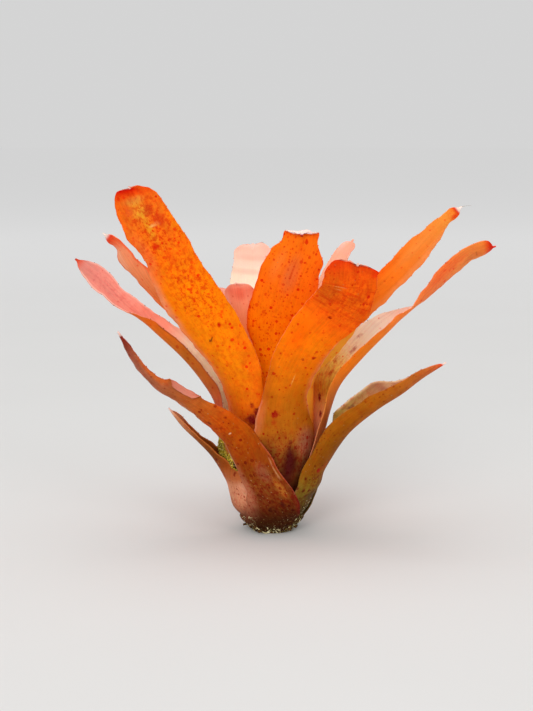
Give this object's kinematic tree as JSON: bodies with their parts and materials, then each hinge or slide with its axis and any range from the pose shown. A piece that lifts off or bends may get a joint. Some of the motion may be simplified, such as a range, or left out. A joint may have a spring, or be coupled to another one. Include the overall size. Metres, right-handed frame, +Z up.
{
  "type": "bromeliad rosette",
  "caption": "Neoregelia bromeliad rosette cut from its runner: strap leaves with fine marginal spines fan out of overlapping sheaths on a short cut stem, on which it stands.",
  "frame": {"origin": "centre of the flat cut face at the bottom of the stem", "axes": "+Z up along the stem; -Y towards the front as pictured; +X to the right as pictured"},
  "size_m": [0.2585, 0.1788, 0.2182],
  "materials": {
    "leaf_orange": "satin leaf, saturated orange with red spots",
    "leaf_ember": "satin leaf, red-orange with dark red spots",
    "leaf_ochre": "satin leaf, ochre brown with a browner sheath",
    "leaf_salmon": "satin leaf, salmon pink",
    "leaf_cream": "satin leaf, pale cream pink",
    "stem": "matt, fibrous cut stem with root stubs"
  },
  "bodies": {
    "root": {"leaf_low_front_left": "leaf_ochre", "leaf_bottom_left": "leaf_ochre", "leaf_low_right": "leaf_ochre", "leaf_long_left": "leaf_salmon", "leaf_long_right": "leaf_orange", "leaf_front_centre": "leaf_ember", "leaf_tall_front_left": "leaf_orange", "leaf_upper_right": "leaf_orange", "leaf_slim_left": "leaf_orange", "leaf_upright_centre": "leaf_ember", "leaf_back_right": "leaf_cream", "leaf_inner_left": "leaf_salmon", "leaf_pale_back": "leaf_cream", "leaf_heart_right": "leaf_ochre", "leaf_heart_left": "leaf_ochre", "leaf_back_low": "leaf_ochre", "leaf_back_right_long": "leaf_orange", "leaf_back_left_long": "leaf_orange", "leaf_back_middle": "leaf_ember", "stem": "stem"}
  },
  "joints": []
}
